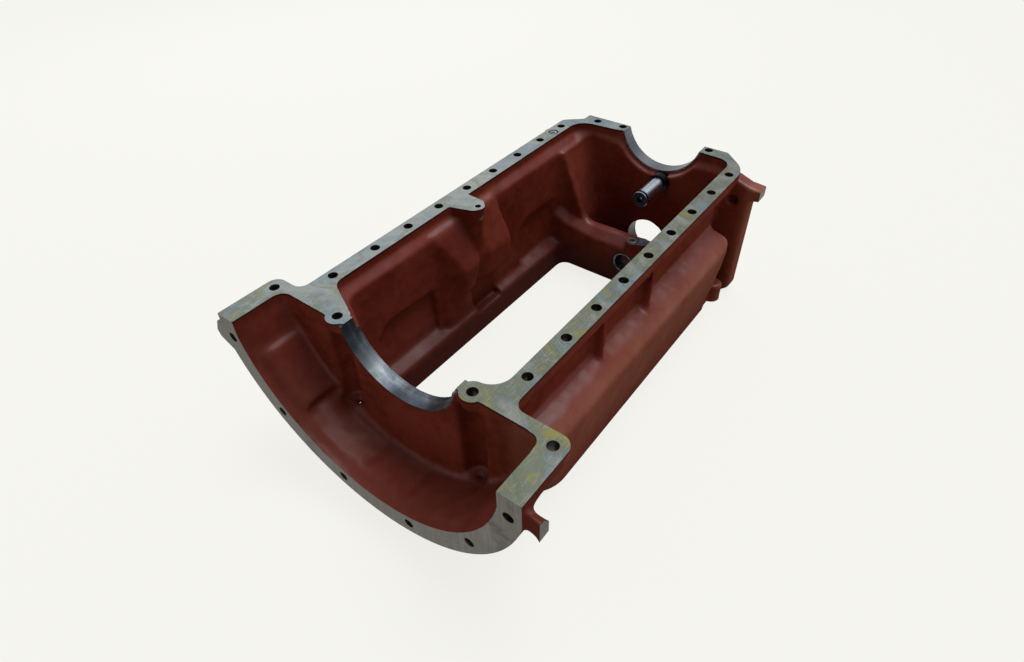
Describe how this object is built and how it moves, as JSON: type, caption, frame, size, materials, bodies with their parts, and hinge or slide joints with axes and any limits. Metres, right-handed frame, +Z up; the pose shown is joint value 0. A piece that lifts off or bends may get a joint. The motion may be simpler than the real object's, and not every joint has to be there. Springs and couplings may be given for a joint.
{
  "type": "engine oil pan",
  "caption": "Cast engine oil pan with a machined joint flange, rear bell flange, half-round seal seats, an idler pin and a large bottom opening.",
  "frame": {"origin": "on the crank axis, in the plane of the rear machined face", "axes": "+X to the right seen from the rear, +Y from the rear flange towards the front, +Z up, out of the joint face"},
  "size_m": [0.4943, 0.731, 0.245],
  "materials": {
    "casting": "red-brown gloss paint over rough cast iron; joint face, rear face and seal seats machined bare",
    "ground_steel": "ground bright",
    "plug_steel": "turned, slightly oiled",
    "bush_metal": "bored, dull"
  },
  "bodies": {
    "root": {"pan_casting": "casting", "idler_pin": "ground_steel", "rail_plug": "plug_steel", "shaft_bush": "bush_metal"}
  },
  "joints": []
}
